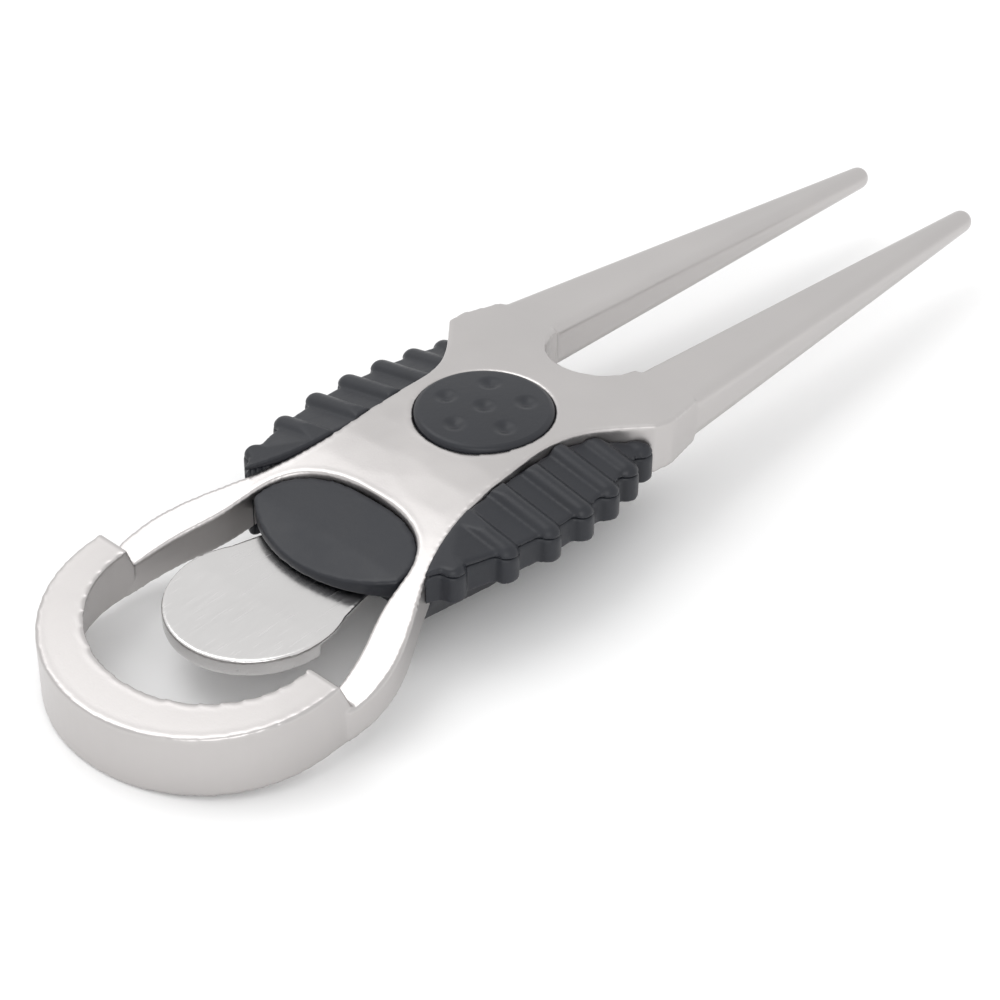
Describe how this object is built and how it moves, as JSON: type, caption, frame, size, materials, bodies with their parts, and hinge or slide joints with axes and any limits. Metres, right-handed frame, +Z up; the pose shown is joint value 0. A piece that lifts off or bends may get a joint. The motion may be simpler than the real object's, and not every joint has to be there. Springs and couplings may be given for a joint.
{
  "type": "divot repair tool",
  "caption": "Two-pronged golf divot repair tool with a cast satin-metal frame, ribbed rubber grips, a dimpled badge, and a spring clip inside an open end loop.",
  "frame": {"origin": "on the flat underside of the back cover, straight below the centre of the badge", "axes": "+X towards the prong tips, +Z up through the badge, +Y completes the right-handed set; the tool is symmetric about Y = 0"},
  "size_m": [0.116, 0.0318, 0.0126],
  "materials": {
    "satin_metal": "satin nickel over cast zinc",
    "polished_steel": "polished spring steel",
    "black_rubber": "satin moulded rubber"
  },
  "bodies": {
    "tool_body": {"fork_frame": "satin_metal", "badge": "black_rubber", "oval_pad": "black_rubber", "grip_left": "black_rubber", "grip_right": "black_rubber", "back_cover": "black_rubber", "clip_rivets": "polished_steel"},
    "clip_body": {"clip": "polished_steel"}
  },
  "joints": [
    {"name": "clip_flex", "type": "hinge", "parent": "tool_body", "child": "clip_body", "pos_m": [-0.0116, 0, 0.0048], "axis": [0, -1, 0], "range_deg": [0, 6], "stiffness_Nm_per_rad": 7.2}
  ]
}
